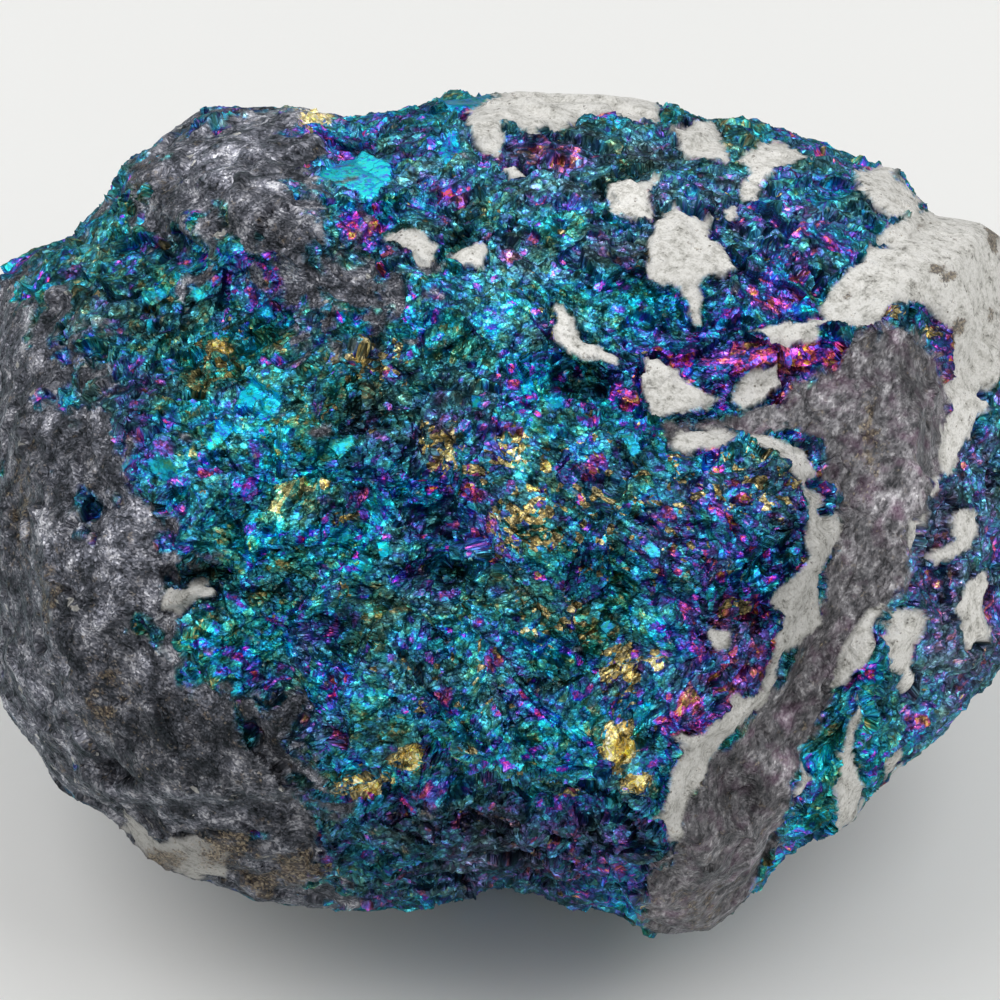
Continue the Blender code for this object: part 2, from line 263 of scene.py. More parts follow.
GREY_CRUST = {
    "knob": [(86, 206), (108, 170), (140, 138), (175, 105), (260, 95), (305, 95), (318, 128), (312, 165),
             (330, 198), (352, 232), (372, 262), (392, 285), (395, 300), (360, 318), (318, 330), (300, 318),
             (296, 295), (275, 262), (232, 250), (190, 238), (168, 218), (150, 232), (132, 205),
             (112, 202)],
    "left bulk": [(-60, 265), (10, 290), (50, 300), (80, 340), (70, 380), (100, 420), (130, 460),
                  (110, 490), (150, 520), (190, 560), (160, 590), (150, 620), (185, 660), (240, 700),
                  (290, 735), (330, 790), (320, 840), (350, 925), (200, 925), (80, 860), (-60, 760)],
}
# Where the ore shows through the grey crust: centre and half sizes in pixels.
CRUST_GAPS = {
    "knob rim": ((122, 190), (12, 24)),
    "left speck": ((156, 636), (9, 7)),
    "low rim": ((14, 712), (12, 24)),
    "low rim speck": ((78, 762), (9, 7)),
    "underside rim": ((114, 804), (8, 9)),
    "low speck": ((216, 776), (11, 12)),
    "foot speck": ((256, 836), (13, 8)),
    "foot": ((345, 848), (26, 20)),
}
CRUST_GAP_DEPTH = 3.0  # millimetres that a gap takes off the crust's reach
BROWN_SLAB = {
    "slab": [(655, 430), (700, 418), (740, 410), (780, 402), (800, 385), (830, 372), (850, 345), (885, 325),
             (910, 338), (936, 358), (950, 395), (950, 430), (942, 470), (926, 500), (905, 590), (880, 625),
             (850, 660), (812, 735), (790, 790), (775, 850), (745, 905), (710, 948), (655, 948), (635, 905),
             (668, 850), (690, 790), (760, 710), (800, 640), (825, 600), (826, 560), (838, 515), (832, 480),
             (812, 452), (796, 434), (740, 430), (690, 455)],
}
# Calcite, crust and slab: their outlines, how loosely their edges follow them, and for the hidden sides the
# wavelength in millimetres and the seed of the field that places them, and what is added to it: the less, the
# rarer they are.
ZONES = {
    "calcite": dict(outlines=CALCITE, loose=0.0, wavelength=16.0, seed=3, share=-0.75),
    "grey": dict(outlines=GREY_CRUST, loose=1.3, wavelength=30.0, seed=5, share=-0.25),
    "slab": dict(outlines=BROWN_SLAB, loose=0.15, wavelength=24.0, seed=8, share=-0.95),
}

# Smooth cleavage faces in the ore: outline in pixels, film, and brightness, which is a painted reflection of
# the lamps that each face would mirror.
CLEAVAGES = {
    "big cyan": ([(316, 172), (326, 158), (345, 149), (365, 151), (380, 158), (392, 163), (391, 183),
                  (381, 197), (366, 199), (353, 188), (338, 184), (322, 182)], 0.64, 4.0),
    "slope upper": ([(229, 404), (238, 388), (254, 377), (267, 386), (260, 398), (249, 406)], 0.67, 2.4),
    "slope right": ([(260, 398), (284, 386), (279, 401), (264, 418), (254, 419), (259, 406)], 0.68, 2.2),
    "slope lower": ([(219, 419), (233, 426), (233, 432), (223, 444), (209, 451), (205, 444), (214, 434)],
                    0.66, 2.3),
    "left wedge": ([(150, 459), (173, 457), (179, 474), (166, 482), (151, 472)], 0.72, 0.8),
    "left shard": ([(128, 456), (146, 454), (136, 463), (121, 476), (110, 474), (118, 462)], 0.62, 2.0),
    "left sliver": ([(80, 454), (118, 453), (113, 461), (80, 460)], 0.66, 1.1),
    "slope bead": ([(188, 286), (199, 285), (204, 293), (194, 301)], 0.70, 1.8),
    "left bead": ([(145, 316), (153, 316), (154, 328), (146, 329)], 0.60, 1.6),
    "low bead": ([(156, 363), (166, 362), (170, 371), (160, 374)], 0.60, 1.5),
    "trail bead": ([(256, 306), (271, 305), (270, 315), (261, 318)], 0.62, 1.8),
    "dome tile": ([(641, 548), (649, 539), (662, 548), (661, 556), (651, 558)], 0.68, 2.0),
    "dome foot tile": ([(598, 626), (610, 616), (614, 627), (606, 635)], 0.68, 2.0),
    "right tile": ([(721, 496), (732, 485), (741, 486), (729, 500)], 0.60, 1.8),
    "edge tile": ([(752, 569), (760, 563), (763, 573), (754, 579)], 0.58, 1.9),
    "right bead": ([(716, 548), (724, 547), (723, 557), (716, 557)], 0.58, 1.9),
    "arc": ([(619, 429), (633, 430), (643, 442), (643, 453), (634, 457), (628, 443)], 0.66, 1.7),
    "terrace tile": ([(545, 397), (560, 398), (568, 410), (552, 409)], 0.68, 2.0),
    "terrace bead": ([(471, 392), (482, 394), (481, 407), (472, 407)], 0.68, 1.8),
    "terrace oval": ([(519, 384), (532, 382), (531, 395), (522, 395)], 0.68, 1.7),
    "dark tile": ([(328, 524), (346, 527), (347, 539), (338, 546), (328, 534)], 0.62, 0.7),
    "valley tile": ([(375, 540), (389, 539), (394, 552), (381, 560)], 0.68, 2.0),
    "shelf tile": ([(325, 444), (350, 430), (352, 441), (336, 458)], 0.68, 1.6),
    "crest tile": ([(438, 156), (446, 144), (456, 141), (464, 151), (456, 157), (446, 168)], 0.58, 2.0),
    "crest band": ([(438, 100), (491, 95), (492, 104), (446, 108)], 0.64, 1.3),
    "crest magenta": ([(440, 187), (449, 181), (454, 193), (446, 200)], 0.30, 2.2),
}

# Colour of the tarnish film, from thin to thick: 0 gold, 0.12 copper, 0.25 magenta, 0.38 violet, 0.5 blue,
# 0.65 cyan, 0.8 teal, 0.92 green. Patches: centre and half sizes in pixels, film, pull.
FILM_BASE = 0.68
FILM_PATCHES = {
    "big cyan facet": ((355, 182), (34, 24), 0.66, 6.0),
    "knob's violet rim": ((325, 150), (22, 26), 0.40, 2.0),
    "knob's magenta foot": ((358, 218), (18, 16), 0.27, 3.0),
    "slope magenta": ((268, 282), (24, 26), 0.32, 1.6),
    "slope cyan": ((252, 412), (40, 26), 0.67, 4.0),
    "slope green": ((150, 330), (60, 30), 0.80, 1.0),
    "left violet": ((125, 425), (22, 50), 0.42, 1.6),
    "crest violet": ((445, 190), (18, 12), 0.30, 2.0),
    "top orange": ((545, 150), (40, 14), 0.16, 1.6),
    "top blue": ((740, 250), (110, 70), 0.50, 1.6),
    "green spot": ((735, 135), (26, 14), 0.90, 4.0),
    "pink line": ((785, 358), (52, 14), 0.23, 8.0),
    "neck violet": ((690, 370), (50, 40), 0.42, 2.0),
    "central teal": ((540, 340), (80, 50), 0.70, 1.4),
    "dome right": ((740, 545), (75, 85), 0.50, 2.0),
    "plum slab": ((735, 650), (34, 44), 0.32, 7.0),
    "slab's blue cheek": ((825, 465), (34, 28), 0.48, 3.0),
    "boulder fringe": ((948, 370), (12, 60), 0.30, 4.0),
    "slab's purple cheek": ((785, 392), (16, 14), 0.36, 5.0),
    "side of the boulder": ((960, 560), (50, 110), 0.46, 3.0),
    "plum foot": ((690, 720), (24, 30), 0.36, 3.0),
    "low band": ((480, 850), (150, 50), 0.52, 2.0),
    "low band violet": ((560, 850), (70, 34), 0.40, 2.0),
    "low band teal": ((390, 850), (50, 34), 0.72, 2.0),
    "side violet": ((930, 520), (20, 70), 0.40, 2.0),
    "side teal": ((885, 700), (30, 40), 0.70, 2.0),
}
# Gold grains: centre and half sizes in pixels, share of the grains.
GOLD_PATCHES = {
    "crown glint": ((315, 117), (20, 10), 1.0),
    "slope nugget": ((220, 350), (12, 9), 0.95),
    "slope nugget foot": ((222, 361), (16, 6), 0.5),
    "slope west": ((200, 348), (8, 6), 0.5),
    "shelf": ((372, 362), (48, 24), 0.46),
    "shelf fall": ((350, 400), (26, 30), 0.28),
    "mid shelf": ((440, 445), (22, 32), 0.50),
    "dome crown": ((508, 448), (24, 24), 0.55),
    "dome shelf": ((480, 480), (34, 22), 0.36),
    "dome": ((530, 520), (52, 40), 0.46),
    "dome specks": ((630, 520), (120, 90), 0.30),
    "dome specks right": ((760, 480), (60, 50), 0.34),
    "dome tooth": ((545, 465), (6, 6), 0.95),
    "dome tooth two": ((532, 487), (7, 5), 0.95),
    "dome foot": ((560, 620), (60, 30), 0.38),
    "left rim": ((362, 785), (34, 12), 0.65),
    "valley nugget": ((343, 515), (12, 8), 0.85),
    "valley speck": ((322, 480), (5, 6), 0.8),
    "left pocket": ((345, 590), (20, 16), 0.35),
    "fan": ((405, 757), (22, 16), 0.8),
    "pit specks": ((195, 592), (22, 26), 0.25),
    "hive": ((624, 668), (24, 30), 0.60),
    "hive right": ((658, 660), (16, 16), 0.60),
    "nugget": ((620, 745), (18, 30), 0.95),
    "nugget foot": ((636, 785), (18, 14), 0.8),
    "vein side": ((700, 490), (34, 14), 0.40),
    "vein low": ((735, 605), (24, 12), 0.45),
    "south": ((450, 690), (80, 60), 0.2),
    "shoulder": ((600, 440), (60, 30), 0.2),
    "shoulder glint": ((930, 330), (14, 8), 0.7),
    "shoulder crumb": ((890, 312), (12, 8), 0.5),
    "low streak": ((580, 792), (30, 6), 0.4),
}
# Greyed tarnish: centre and half sizes in pixels, share.
FADED_PATCHES = {
    "side": ((960, 600), (60, 200), 0.55),
    "plum": ((732, 655), (34, 50), 0.35),
    "low band": ((480, 850), (170, 50), 0.55),
    "top": ((600, 200), (240, 90), 0.35),
    "left slope": ((110, 330), (60, 90), 0.25),
    "shelf": ((420, 400), (110, 60), 0.20),
    "south": ((450, 600), (70, 60), 0.20),
    "slope rim": ((110, 440), (40, 60), 0.30),
}
# Brown or tan stain: centre and half sizes in pixels, share.
STAINS = {
    "boulder slot": ((934, 270), (9, 5), 0.9),
    "boulder slot end": ((945, 278), (8, 5), 0.7),
    "boulder edge": ((990, 240), (8, 14), 0.9),
    "boulder crown": ((921, 226), (7, 4), 0.6),
    "boulder speck": ((852, 292), (6, 5), 0.5),
    "boulder foot": ((957, 327), (6, 9), 0.8),
    "boulder low": ((990, 315), (4, 8), 0.6),
    "underside": ((165, 858), (22, 10), 0.75),
    "underside rim": ((225, 850), (26, 18), 0.6),
    "foot brown": ((300, 872), (30, 14), 0.9),
    "foot tan": ((262, 880), (24, 10), 0.6),
    "left rim": ((20, 520), (14, 60), 0.35),
    "left dust": ((48, 590), (12, 30), 0.45),
    "left dust low": ((105, 700), (28, 40), 0.35),
    "knob dust": ((150, 180), (26, 24), 0.25),
    "slab streak": ((870, 440), (9, 45), 0.5),
    "slab foot": ((700, 910), (26, 22), 0.35),
}
# Darker and brighter stretches: centre and half sizes in pixels, and what the brightness is multiplied by.
# The crown glint, slope cluster, terrace, top, knob sheen, knob crown, knob crest and slab sheen stretches
# are painted highlights where faces catch the lamps; the pit, recess, hole, brown pit, slope dark, dome
# shade, valley, left valley, shelf foot, grey hollow, knob notch, knob fall, low band and underside stretches
# are painted shade in hollows, recesses and under overhangs; the others only make the stone darker or
# brighter.
TONE_AND_PAINTED_LIGHT_PATCHES = {
    "crown glint": ((315, 117), (22, 12), 1.7),
    "pit": ((205, 572), (30, 9), 0.15),
    "recess": ((582, 382), (32, 15), 0.2),
    "hole": ((455, 570), (12, 12), 0.25),
    "brown pit": ((461, 238), (10, 9), 0.2),
    "slope cluster": ((248, 405), (44, 38), 1.9),
    "terrace left": ((520, 340), (120, 60), 1.4),
    "top": ((740, 230), (120, 80), 1.35),
    "top left": ((540, 220), (100, 80), 1.28),
    "side": ((965, 600), (60, 200), 1.4),
    "left bulk": ((50, 590), (90, 170), 0.74),
    "low left": ((180, 760), (150, 80), 0.74),
    "gold zone": ((500, 470), (90, 60), 1.25),
    "dome brown": ((560, 525), (56, 30), 0.6),
    "shelf dusk": ((370, 385), (60, 34), 0.7),
    "vein low": ((735, 610), (30, 16), 0.6),
    "vein": ((790, 600), (60, 110), 0.74),
    "vein foot": ((700, 770), (50, 80), 0.85),
    "ridge": ((560, 110), (110, 30), 1.05),
    "squiggle": ((585, 335), (40, 40), 0.85),
    "side patches": ((960, 570), (50, 90), 0.8),
    "boulder": ((930, 260), (90, 60), 1.06),
    "underside": ((175, 850), (60, 40), 0.62),
    "slope": ((190, 360), (90, 90), 0.88),
    "slope dark": ((215, 380), (34, 12), 0.4),
    "slope dusk": ((180, 300), (60, 30), 0.75),
    "low band": ((480, 852), (170, 50), 0.5),
    "dome shade": ((560, 570), (46, 26), 0.5),
    "dome right": ((745, 560), (60, 60), 0.8),
    "valley": ((430, 530), (22, 60), 0.6),
    "shelf foot": ((370, 430), (40, 40), 0.65),
    "left valley": ((350, 500), (34, 26), 0.6),
    "pink line": ((785, 358), (50, 12), 1.6),
    "star": ((690, 260), (54, 64), 0.8),
    "pit rim": ((190, 594), (34, 22), 0.75),
    "plum": ((735, 660), (34, 40), 0.85),
    "grey shoulder": ((110, 535), (50, 35), 1.35),
    "grey hollow": ((215, 745), (95, 50), 0.45),
    "grey dusk": ((30, 350), (40, 60), 0.75),
    "grey foot": ((270, 850), (70, 30), 0.7),
    "knob": ((240, 180), (80, 60), 1.28),
    "knob sheen": ((215, 163), (24, 17), 2.0),
    "knob crown": ((254, 132), (18, 12), 1.5),
    "knob crest": ((276, 184), (18, 8), 2.0),
    "knob notch": ((247, 194), (11, 13), 0.5),
    "knob fall": ((232, 225), (40, 12), 0.65),
    "slab sheen": ((812, 695), (16, 16), 1.7),
    "slab plum": ((745, 780), (24, 30), 0.8),
}


def smooth(low, high, value):
    """0 below low, 1 above high, and an eased slope between."""
    share = np.clip((value - low) / (high - low), 0.0, 1.0)
    return share * share * (3.0 - 2.0 * share)


def outline_radius(angle):
    """Distance in pixels from the middle to the outline, in each direction of the picture."""
    points = np.array(OUTLINE, float) - MIDDLE_PIXEL
    return np.interp(angle, np.arctan2(-points[:, 1], points[:, 0]), np.hypot(*points.T), period=2 * math.pi)


def beside(x, y, path):
    """Distance in pixels from each point to a path, and how far the point lies to the path's right."""
    gap = np.full(x.shape, np.inf)
    right = np.zeros(x.shape)
    for (ax, ay), (bx, by) in zip(path, path[1:]):
        dx, dy = bx - ax, by - ay
        length = math.hypot(dx, dy)
        along = np.clip(((x - ax) * dx + (y - ay) * dy) / length**2, 0.0, 1.0)
        here = np.hypot(x - ax - along * dx, y - ay - along * dy)
        across = (dx * (y - ay) - dy * (x - ax)) / length
        right = np.where(here < gap, across, right)
        gap = np.minimum(gap, here)
    return gap, right


def inside(x, y, outline):
    """Signed distance in pixels to a closed outline: the nearest edge gives its size, and it is positive
    inside, where a line to the right crosses the outline an odd number of times."""
    gap, _ = beside(x, y, outline + outline[:1])
    within = np.zeros(x.shape, bool)
    for (ax, ay), (bx, by) in zip(outline, outline[1:] + outline[:1]):
        if ay != by:
            within ^= ((ay > y) != (by > y)) & (x < (bx - ax) * (y - ay) / (by - ay) + ax)
    return np.where(within, gap, -gap)


def any_inside(x, y, outlines):
    """The greatest of the signed distances to several outlines, cut off where it is far outside."""
    reach = np.full(x.shape, -FAR_OUTSIDE)
    for outline in outlines.values():
        left, top = np.min(outline, axis=0) - FAR_OUTSIDE
        right, bottom = np.max(outline, axis=0) + FAR_OUTSIDE
        near = (x > left) & (x < right) & (y > top) & (y < bottom)
        reach[near] = np.maximum(reach[near], inside(x[near], y[near], outline))
    return reach


def bump(x, y, centre, half):
    """1 over a patch's middle, falling smoothly to 0 past its half sizes."""
    return np.exp(-np.abs((x - centre[0]) / half[0]) ** 3 - np.abs((y - centre[1]) / half[1]) ** 3)


def face_relief(x, y):
    """Rise towards the eye in millimetres at a pixel: all the named bulges, ridges and ledges added up."""
    rise = np.zeros(x.shape)
    for (px, py), (wide, high), height in BULGES.values():
        rise += height * np.exp(-(((x - px) / wide) ** 2) - ((y - py) / high) ** 2)
    for path, width, height in RIDGES.values():
        gap, _ = beside(x, y, path)
        rise += height * np.exp(-((gap / width) ** 2))
    for path, fall, width, reach in LEDGES.values():
        gap, right = beside(x, y, path)
        rise -= 0.5 * fall * np.tanh(right / width) * np.exp(-((gap / reach) ** 2))
    return rise


def pillow(directions):
    """The closed pillow: each unit direction becomes a point, in millimetres from the stone's middle.

    A direction is split into its part across the picture and its part along the line of sight, both are made
    blockier, the first is stretched to the outline and the second to the half depth. The nearer a point is to
    the eye the larger it looks, so the width is reduced by that share, and the outline stays where it's seen.
    """
    across = np.stack([directions @ SIDE, directions @ EYE_UP], axis=1)
    forward = directions @ EYE_BACK
    spread = np.hypot(*across.T)
    angle = np.arctan2(across[:, 1], across[:, 0])
    blocky = (spread**BOXINESS + np.abs(forward) ** BOXINESS) ** (1.0 / BOXINESS)
    mean_radius = np.hypot(*(np.array(OUTLINE, float) - MIDDLE_PIXEL).T).mean()
    edge = (spread / blocky) ** OUTLINE_REACH
    oval = 1.0 / np.hypot(np.cos(angle) / OVAL[0], np.sin(angle) / OVAL[1])
    radius = mean_radius * oval * (1.0 - edge) + outline_radius(angle) * edge
    x = MIDDLE_PIXEL[0] + radius * np.cos(angle) * spread / blocky
    y = MIDDLE_PIXEL[1] - radius * np.sin(angle) * spread / blocky
    right = (x - MIDDLE_PIXEL[0]) * PIXEL
    up = (MIDDLE_PIXEL[1] - y) * PIXEL
    depth = HALF_DEPTH * forward / blocky - LEAN * up
    depth += face_relief(x, y) * smooth(0.0, RELIEF_FADE, forward)
    nearness = 1.0 - depth / SIGHT_LENGTH
    points = np.outer(right * nearness, SIDE) + np.outer(up * nearness, EYE_UP) + np.outer(depth, EYE_BACK)
    return points, x, y, forward


def fractured(points, hidden):
    """Points beyond each fracture plane are drawn back almost onto it, by the share that each is hidden."""
    for turn, rise, distance in FRACTURES:
        turn, rise = math.radians(turn), math.radians(rise)
        facing = np.array([math.cos(turn) * math.cos(rise), math.sin(turn) * math.cos(rise), math.sin(rise)])
        beyond = FRACTURE_SOFTNESS * np.logaddexp(0.0, (points @ facing - distance) / FRACTURE_SOFTNESS)
        points = points - np.outer(beyond * (1.0 - FRACTURE_KEEP) * hidden, facing)
    return points


def facets(points, size, slope, step, seed, crispness=FACET_CRISPNESS, bend=FACET_BEND):
    """Height of broken flat facets, and three chances that are alike over each facet.

    Each cell of a shaken lattice holds one tilted plane, and the nearest wins.
    """
    points = points.astype(np.float32)
    chances = np.random.default_rng(seed).random((LATTICE, LATTICE, LATTICE, 7), dtype=np.float32)
    wave = points[:, [1, 2, 0]] * FACET_WAVE / size + np.sin(points[:, [2, 0, 1]] / size)
    points = points + bend * size * np.sin(wave)
    home = np.floor(points / size).astype(int)
    height = np.zeros(len(points), np.float32)
    total = np.zeros(len(points), np.float32)
    tone = np.zeros((len(points), 3), np.float32)
    for offset in itertools.product((-1, 0, 1), repeat=3):
        cell = home + offset
        chance = chances[tuple((cell % LATTICE).T)]
        apart = points - (cell + chance[:, :3]) * size
        weight = np.exp(-crispness * (apart**2).sum(axis=1) / size**2)
        tilt = 2.0 * slope * (chance[:, 3:6] - 0.5)
        height += weight * ((apart * tilt).sum(axis=1) + step * size * (chance[:, 6] - 0.5))
        tone += weight[:, None] * chance[:, [6, 4, 5]]
        total += weight
    total = np.maximum(total, 1e-30)
    return height / total, tone / total[:, None]


def slow_field(points, wavelength, seed, waves=24):
    """A smooth random field round 0, mostly between -1.5 and 1.5: plane waves of near that wavelength, added
    up."""
    draw = np.random.default_rng(seed)
    heading = draw.normal(size=(waves, 3))
    heading /= np.linalg.norm(heading, axis=1)[:, None]
    pace = 2.0 * math.pi / wavelength * draw.uniform(0.6, 1.6, waves)
    phase = draw.uniform(0.0, 2.0 * math.pi, waves)
    return np.sin(points @ (heading * pace[:, None]).T + phase).sum(axis=1) / math.sqrt(waves)


def stretched(points, turn, squeeze):
    """Points squeezed along a line in the picture's plane, turned that many degrees up from the right, so
    that a pattern laid on them is drawn out along it."""
    turn = math.radians(turn)
    fibre = math.cos(turn) * SIDE + math.sin(turn) * EYE_UP
    return points - np.outer(points @ fibre * (1.0 - squeeze), fibre)


def cube_grid(cells):
    """The surface of a cube as six grids of two parameters, joined at their edges.

    Gives each corner's place on the cube from -1 to 1, and for each side the numbers of its corners by
    column and row.
    """
    steps = np.arange(cells + 1)
    column, row = np.meshgrid(steps, steps, indexing="ij")
    flat, top = np.zeros_like(column), np.full_like(column, cells)
    sides = [
        (column, row, top), (row, column, flat), (top, column, row), (flat, row, column), (row, top, column),
        (column, flat, row),
    ]
    lattice = np.stack([np.stack([axis.ravel() for axis in side], axis=1) for side in sides])
    key = (lattice[..., 0] * (cells + 1) + lattice[..., 1]) * (cells + 1) + lattice[..., 2]
    _, first, where = np.unique(key.ravel(), return_index=True, return_inverse=True)
    corners = lattice.reshape(-1, 3)[first] * 2.0 / cells - 1.0
    return corners, where.reshape(6, cells + 1, cells + 1)


def ball_directions(corners):
    """Cube places spread evenly over a ball, whose +Z side is turned to the eye and drawn together there."""
    even = np.tan(corners * math.pi / 4)
    even /= np.linalg.norm(even, axis=1)[:, None]
    off_axis = np.arccos(np.clip(even[:, 2], -1.0, 1.0))
    drawn = off_axis - EYE_CROWDING * np.sin(off_axis)
    ring = np.sin(drawn) / np.maximum(np.sin(off_axis), 1e-9)
    across = (even[:, 0] * ring)[:, None] * SIDE + (even[:, 1] * ring)[:, None] * EYE_UP
    return across + np.cos(drawn)[:, None] * EYE_BACK


def normals_of(points, index):
    """Unit normals of points on the six grids: the cross of each cell's two diagonals, added up at its
    corners."""
    a, b, c, d = index[:, :-1, :-1], index[:, 1:, :-1], index[:, 1:, 1:], index[:, :-1, 1:]
    across = np.cross(points[c] - points[a], points[d] - points[b]).reshape(-1, 3)
    total = np.zeros_like(points)
    for corner in (a, b, c, d):
        for axis in range(3):
            total[:, axis] += np.bincount(corner.ravel(), across[:, axis], len(points))
    return total / np.linalg.norm(total, axis=1)[:, None]


def zone_reach(points, x, y, forward):
    """How deep each point lies in the calcite, the grey crust and the cleaved slab, in millimetres, negative
    outside: by their outlines where the eye sees them, and by slow random fields elsewhere."""
    seen = smooth(PATCH_FADE, -0.05, forward)
    wander = 0.9 * slow_field(points, 4.5, 52) + 0.7 * slow_field(points, 1.8, 53)
    reach = {}
    for name, zone in ZONES.items():
        field = slow_field(points, zone["wavelength"], zone["seed"]) + zone["share"]
        roam = field * zone["wavelength"] * 0.2 + 0.9 * wander
        placed = any_inside(x, y, zone["outlines"]) * PIXEL + zone["loose"] * wander
        reach[name] = placed * seen + roam * (1.0 - seen)
    gaps = sum(CRUST_GAP_DEPTH * bump(x, y, *gap) for gap in CRUST_GAPS.values())
    reach["grey"] = reach["grey"] - gaps * seen
    return reach


def tarnish_fields(points, x, y, forward):
    """Film thickness, share of gold, the ore's brightness and the patches' own, both in logarithm and both
    holding painted highlights and painted shade as well as tone, greying and stain: from the named patches
    where the eye sees them and from slow random fields."""
    seen = smooth(PATCH_FADE, 0.0, forward)
    total, weight = FILM_BASE, 1.0
    for centre, half, film, pull in FILM_PATCHES.values():
        pulled = pull * bump(x, y, centre, half) * seen
        total, weight = total + pulled * film, weight + pulled
    drift = 0.05 * slow_field(points, 14.0, 41) + 0.07 * slow_field(points, 4.0, 42)
    film = total / weight + drift / weight
    film = film + 0.05 * slow_field(points, 1.3, 49)
    gold = 0.06 + 0.05 * slow_field(points, 5.0, 43)
    front = smooth(GOLD_FADE, 0.0, forward)
    for centre, half, share in GOLD_PATCHES.values():
        gold = np.maximum(gold, share * bump(x, y, centre, half) * front)
    shade = 0.24 * slow_field(points, 6.0, 44) + 0.26 * slow_field(points, 2.2, 45)
    # Painted highlights and painted shade from the stretches, with some tone, in logarithm.
    light = np.zeros(x.shape)
    for centre, half, factor in TONE_AND_PAINTED_LIGHT_PATCHES.values():
        light = light + math.log(factor) * bump(x, y, centre, half) * seen
    faded = sum(share * bump(x, y, centre, half) for centre, half, share in FADED_PATCHES.values()) * seen
    stain = 0.35 * smooth(0.9, 2.0, slow_field(points, 7.0, 47)) * (1.0 - seen)
    for centre, half, share in STAINS.values():
        stain = np.maximum(stain, share * bump(x, y, centre, half) * seen)
    return film, gold, shade + light, light, faded, stain


def cleaved(x, y, forward):
    """Where the named cleavage faces are, from 0 to 1, and each one's film and painted reflection there."""
    share, film, bright = np.zeros(x.shape), np.zeros(x.shape), np.zeros(x.shape)
    for outline, own_film, own_painted_reflection in CLEAVAGES.values():
        here = smooth(-1.0, 1.5, any_inside(x, y, {"face": outline})) * (forward > 0.0)
        share = np.maximum(share, here)
        film, bright = np.where(here > 0.0, own_film, film), np.where(here > 0.0, own_painted_reflection, bright)
    return share, film, bright


def skin_grid():
    """Directions from the stone's middle, crowded towards the eye and each shaken a little, the numbers of
    the six grids' corners, and the height of the grit at each."""
    corners, index = cube_grid(SKIN_CELLS)
    directions = ball_directions(corners)
    draw = np.random.default_rng(77)
    shaken = draw.uniform(-1.0, 1.0, directions.shape) * SHAKE / SKIN_CELLS
    directions = directions + shaken * (1.0 - EYE_CROWDING * (directions @ EYE_BACK))[:, None]
    directions /= np.linalg.norm(directions, axis=1)[:, None]
    grit = GRIT * draw.uniform(-1.0, 1.0, len(directions))
    return directions, index, grit


def laid_out(points, plate, zones):
    """The places that fine crystal is worked out from: drawn out along one line in each block of the ore,
    another in the crust and another in the slab, and left as they are in and beside the calcite."""
    block = plate[:, [1]]
    low_lie, middle_lie, high_lie = ORE_LIES
    laid = np.where(block < LIE_BOUNDS[0], stretched(points, *low_lie), stretched(points, *middle_lie))
    laid = np.where(block > LIE_BOUNDS[1], stretched(points, *high_lie), laid)
    laid = np.where(zones["grey"][:, None] > 0.0, stretched(points, *CRUST_LIE), laid)
    laid = np.where(zones["slab"][:, None] > 0.0, stretched(points, *SLAB_LIE), laid)
    return np.where(zones["calcite"][:, None] > -CALCITE_FRINGE, points, laid)


def damped(height, lost, zones):
    """A fine form's height with the share that it loses in the crust, the slab and the calcite taken off."""
    for share, zone in zip(lost, zones):
        height = height * (1.0 - share * zone)
    return height


